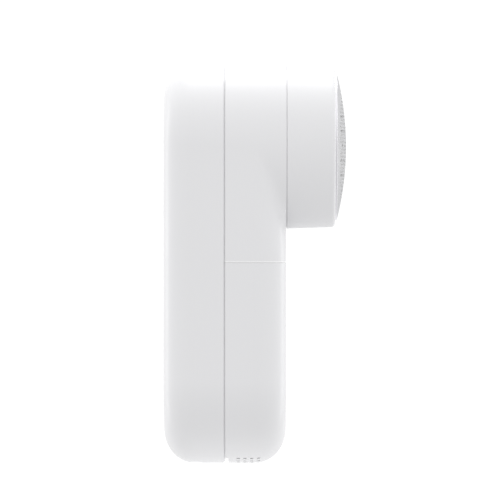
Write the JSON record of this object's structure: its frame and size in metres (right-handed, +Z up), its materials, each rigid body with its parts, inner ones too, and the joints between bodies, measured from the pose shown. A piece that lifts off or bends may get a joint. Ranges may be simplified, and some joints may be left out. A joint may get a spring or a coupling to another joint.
{
  "type": "fabric shaver",
  "caption": "Slim upright rechargeable fabric shaver with a round sprung cutter behind a perforated foil, a twist-off collar and a slide-off lint bin.",
  "frame": {"origin": "centre of the bounding box in plan, at the lowest point of the rounded lower end", "axes": "+Z up along the body's height, +X forward out of the cutting foil, +Y across the width"},
  "size_m": [0.0622, 0.056, 0.136],
  "materials": {
    "shell": "satin moulded white",
    "inner": "plain moulded",
    "foil": "bead-blasted with a polished rim",
    "blade": "ground",
    "steel": "zinc plated",
    "brass": "plain",
    "magnet": "sintered ferrite",
    "copper": "enamelled winding",
    "board": "solder resist",
    "black": "plain moulded",
    "battery": "plain shrink sleeve on a steel can",
    "lamp": "clear",
    "lead_red": "soft insulation",
    "lead_black": "soft insulation"
  },
  "bodies": {
    "body": {"rear_shell": "shell", "front_housing": "shell", "chassis": "inner", "motor_can": "steel", "battery_tab_top": "steel", "battery_tab_bottom": "steel", "usb_socket": "steel", "body_screw_left": "steel", "body_screw_right": "steel", "chassis_screw_left": "steel", "chassis_screw_right": "steel", "motor_screw_left": "steel", "motor_screw_right": "steel", "bush_front": "brass", "bush_rear": "brass", "brush_terminal_left": "brass", "brush_terminal_right": "brass", "magnet_left": "magnet", "magnet_right": "magnet", "control_board": "board", "usb_board": "board", "motor_end_cap": "black", "tact_switch": "black", "charge_chip": "black", "inductor": "black", "battery_cell": "battery", "status_led": "lamp", "light_pipe": "lamp", "motor_lead_right": "lead_red", "charge_lead_inner": "lead_red", "battery_lead_positive": "lead_red", "motor_lead_left": "lead_black", "charge_lead_outer": "lead_black", "battery_lead_negative": "lead_black"},
    "bin": {"lint_bin": "shell"},
    "foil_set": {"cutter_foil": "foil", "foil_retainer": "inner"},
    "collar": {"head_collar": "shell"},
    "rotor": {"motor_shaft": "steel", "armature": "copper", "commutator": "brass", "drive_coupling": "inner", "float_spring": "steel"},
    "cutter": {"cutter_hub": "inner", "cutter_blade_1": "blade", "cutter_blade_2": "blade", "cutter_blade_3": "blade", "cutter_blade_4": "blade", "cutter_blade_5": "blade"},
    "button": {"power_button": "shell", "switch_plunger": "black"}
  },
  "joints": [
    {"name": "bin_slide", "type": "slide", "parent": "body", "child": "bin", "axis": [0, 0, -1], "range_m": [0, 0.04]},
    {"name": "foil_lift", "type": "slide", "parent": "body", "child": "foil_set", "axis": [1, 0, 0], "range_m": [0, 0.003]},
    {"name": "collar_twist", "type": "hinge", "parent": "foil_set", "child": "collar", "pos_m": [0.015, 0, 0.108], "axis": [1, 0, 0], "range_deg": [0, 45]},
    {"name": "rotor_spin", "type": "hinge", "parent": "body", "child": "rotor", "pos_m": [0, 0, 0.108], "axis": [1, 0, 0], "continuous": true},
    {"name": "cutter_float", "type": "slide", "parent": "rotor", "child": "cutter", "axis": [-1, 0, 0], "range_m": [0, 0.0012], "stiffness_N_per_m": 300, "springref_m": -0.002, "deforming": ["float_spring"]},
    {"name": "button_press", "type": "slide", "parent": "body", "child": "button", "axis": [1, 0, 0], "range_m": [0, 0.0006], "stiffness_N_per_m": 1500, "springref_m": -0.0008}
  ],
  "couplings": [
    {"joint": "foil_lift", "follows": "collar_twist", "m_per_rad": 0.003819}
  ]
}
